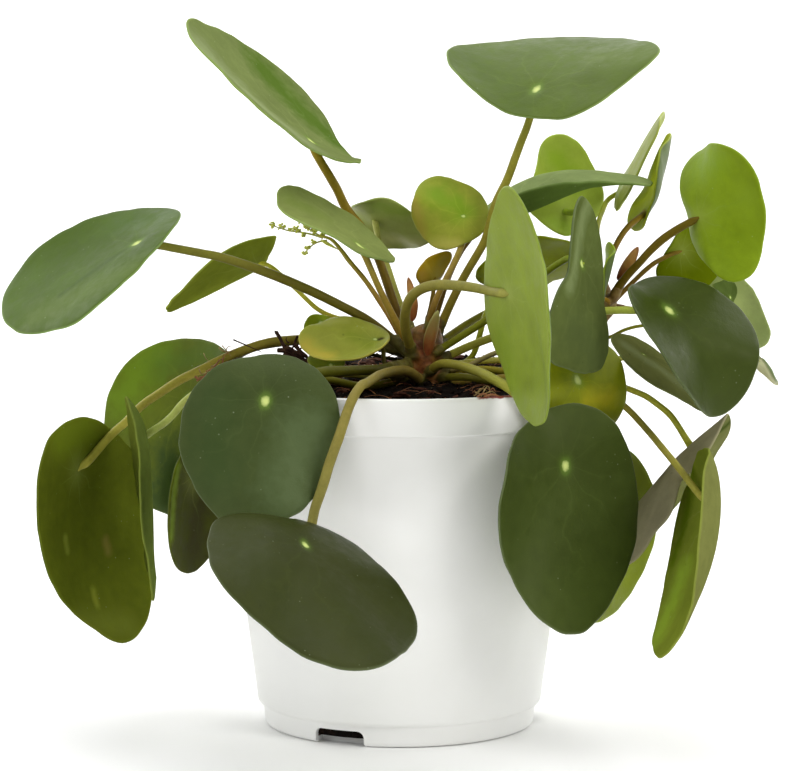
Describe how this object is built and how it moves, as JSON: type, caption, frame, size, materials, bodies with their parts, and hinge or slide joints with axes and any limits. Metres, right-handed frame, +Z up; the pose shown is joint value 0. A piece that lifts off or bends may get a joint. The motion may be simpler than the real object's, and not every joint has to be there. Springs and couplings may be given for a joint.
{
  "type": "potted pilea plant",
  "caption": "Potted pilea house plant with round leaves on long stalks, a short brown stem, a small flower stalk and dark soil in a plain white plastic nursery pot",
  "frame": {"origin": "centre of the pot's flat underside", "axes": "+Z up along the pot's axis, -Y to the front that faces the viewer, +X to the viewer's right"},
  "size_m": [0.2515, 0.2026, 0.2267],
  "materials": {
    "pot_plastic": "plain white plastic, terracotta tint inside the rim",
    "soil": "dark crumbly potting soil with bits of bark and perlite",
    "stem": "reddish brown, ringed with leaf scars",
    "leaf": "waxy green, soft sheen",
    "young_leaf": "waxy yellow green",
    "flower": "matt orange brown",
    "bud_scale": "papery, matt light brown"
  },
  "bodies": {
    "root": {"pot": "pot_plastic", "soil": "soil", "main_stem": "stem", "side_stem": "stem", "leaf_01": "leaf", "leaf_02": "leaf", "leaf_03": "leaf", "leaf_04": "leaf", "leaf_05": "leaf", "leaf_06": "leaf", "leaf_07": "leaf", "leaf_08": "leaf", "leaf_09": "leaf", "leaf_10": "leaf", "leaf_11": "leaf", "leaf_12": "leaf", "leaf_13": "leaf", "leaf_14": "leaf", "leaf_15": "leaf", "leaf_16": "leaf", "leaf_17": "leaf", "leaf_18": "leaf", "leaf_19": "leaf", "leaf_20": "leaf", "leaf_21": "leaf", "leaf_22": "leaf", "leaf_23": "leaf", "leaf_24": "leaf", "leaf_25": "leaf", "leaf_26": "leaf", "leaf_27": "leaf", "leaf_28": "leaf", "leaf_29": "leaf", "leaf_30": "leaf", "leaf_31": "leaf", "leaf_32": "young_leaf", "leaf_33": "leaf", "leaf_34": "young_leaf", "leaf_35": "leaf", "leaf_36": "leaf", "leaf_37": "leaf", "flower_stalk": "flower", "bud_scale_left": "bud_scale", "bud_scale_front": "bud_scale", "bud_scale_right": "bud_scale"}
  },
  "joints": []
}
